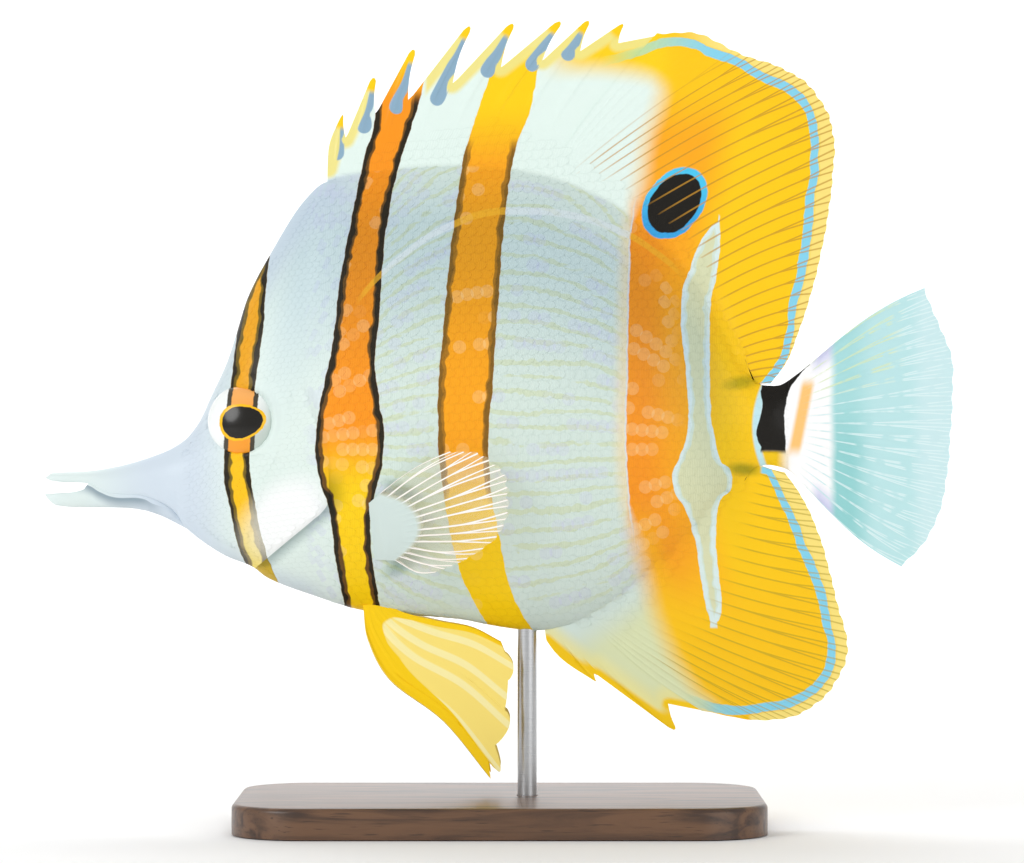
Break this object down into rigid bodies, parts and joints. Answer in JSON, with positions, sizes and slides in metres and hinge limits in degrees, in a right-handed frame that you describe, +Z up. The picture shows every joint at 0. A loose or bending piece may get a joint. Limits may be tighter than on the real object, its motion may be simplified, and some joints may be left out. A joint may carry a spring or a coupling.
{
  "type": "copperband butterflyfish model",
  "caption": "Life-size display model of a deep-bodied, long-snouted banded reef fish with spread fins, held over a flat base by a rod.",
  "frame": {"origin": "centre of the whole part's footprint, on the underside of the stand's base", "axes": "+Z up; the fish faces -X, with its left side towards -Y and its right side towards +Y"},
  "size_m": [0.1799, 0.062, 0.1594],
  "materials": {
    "skin": "pearly scaled fish skin, satin wet sheen, four copper bands",
    "fin": "yellow to orange scaly fin membrane, satin",
    "tail_membrane": "pale aqua translucent fin membrane",
    "clear_membrane": "clear fin membrane on white rays",
    "eye": "wet glossy eye",
    "walnut": "oiled walnut, satin",
    "steel": "brushed round bar"
  },
  "bodies": {
    "root": {"head": "skin", "upper_jaw": "skin", "lower_jaw": "skin", "gill_cover_left": "skin", "gill_cover_right": "skin", "torso": "skin", "tail_base": "skin", "dorsal_fin_spiny": "fin", "dorsal_fin_soft": "fin", "anal_fin_spiny": "fin", "anal_fin_soft": "fin", "pelvic_fin_left": "fin", "pelvic_fin_right": "fin", "tail_fin": "tail_membrane", "pectoral_fin_left": "clear_membrane", "pectoral_fin_right": "clear_membrane", "eye_left": "eye", "eye_right": "eye", "stand_base": "walnut", "stand_rod": "steel"}
  },
  "joints": []
}
